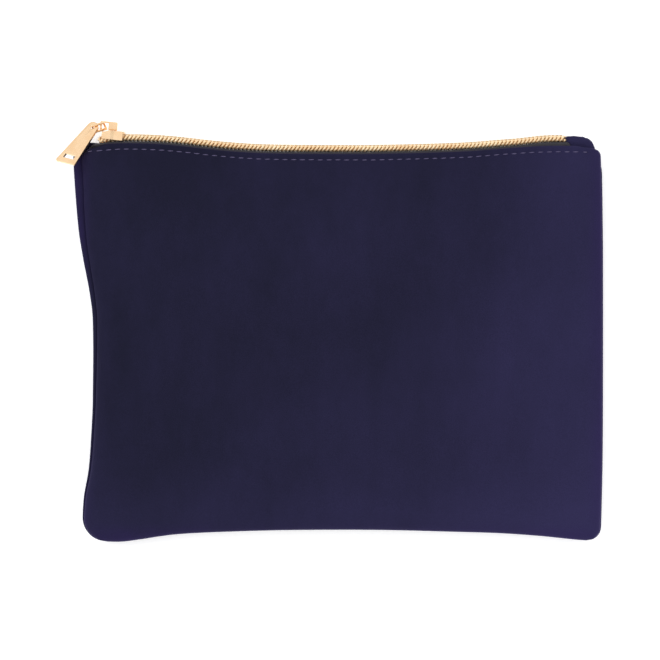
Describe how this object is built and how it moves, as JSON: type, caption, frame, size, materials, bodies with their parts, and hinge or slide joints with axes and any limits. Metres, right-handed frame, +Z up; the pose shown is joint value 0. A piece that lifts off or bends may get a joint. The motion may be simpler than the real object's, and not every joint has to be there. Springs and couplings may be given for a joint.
{
  "type": "zippered pouch",
  "caption": "Flat lined velvet pouch, wider than tall, with a gilt coil zip along the top, a bar pull on a wire link and topstitched folds.",
  "frame": {"origin": "on the table, under the middle of the back wall", "axes": "+X along the zip, away from the shut slider; +Y towards the zip; +Z up out of the front wall"},
  "size_m": [0.2125, 0.1635, 0.0143],
  "materials": {
    "velvet": "short dense pile, blue-violet, with a soft sheen that changes with the lie of the nap",
    "interlining": "pale felted backing",
    "lining": "smooth dark woven lining with a dull gloss",
    "zip_tape": "charcoal herringbone zip tape",
    "thread": "twisted sewing thread, grey violet",
    "gilt_thread": "glossy twisted thread, pale gold, that sews the coil to its tape",
    "gilt_coil": "metal-faced moulded coil, warm pale gold",
    "gold_metal": "polished pale gold plate with rounded, slightly rubbed edges"
  },
  "bodies": {
    "back": {"back_panel": "velvet", "back_interlining": "interlining", "back_lining": "lining", "back_tape": "zip_tape", "back_coil": "gilt_coil", "back_coil_thread": "gilt_thread", "back_topstitch": "thread", "seam_thread": "thread", "lining_thread": "thread", "end_tack": "thread"},
    "front": {"front_panel": "velvet", "front_interlining": "interlining", "front_lining": "lining", "front_tape": "zip_tape", "front_coil": "gilt_coil", "front_coil_thread": "gilt_thread", "front_topstitch": "thread"},
    "slider": {"slider_body": "gold_metal", "slider_crown": "gold_metal"},
    "link": {"pull_link": "gold_metal"},
    "tab": {"pull_tab": "gold_metal"}
  },
  "joints": [
    {"name": "slider_travel", "type": "hinge", "parent": "back", "child": "slider", "pos_m": [0, 0.97717, 0.0066], "axis": [0, 0, 1], "range_deg": [0, 10.9]},
    {"name": "mouth_open", "type": "hinge", "parent": "back", "child": "front", "pos_m": [0, -0.0745, 0.0066], "axis": [1, 0, 0], "range_deg": [0, 10], "deforming": ["front_panel", "front_interlining", "front_lining", "front_tape", "front_coil", "front_coil_thread", "front_topstitch", "back_coil"]},
    {"name": "link_swing", "type": "hinge", "parent": "slider", "child": "link", "pos_m": [-0.09143, 0.08436, 0.0066], "axis": [-0.1515, 0.3945, 0.9063], "range_deg": [-110, 0]},
    {"name": "tab_swing", "type": "hinge", "parent": "link", "child": "tab", "pos_m": [-0.09618, 0.08393, 0.00842], "axis": [-0.1515, 0.3945, 0.9063], "range_deg": [-90, 0]}
  ],
  "couplings": [
    {"joint": "mouth_open", "follows": "slider_travel", "ratio": 0.91}
  ]
}
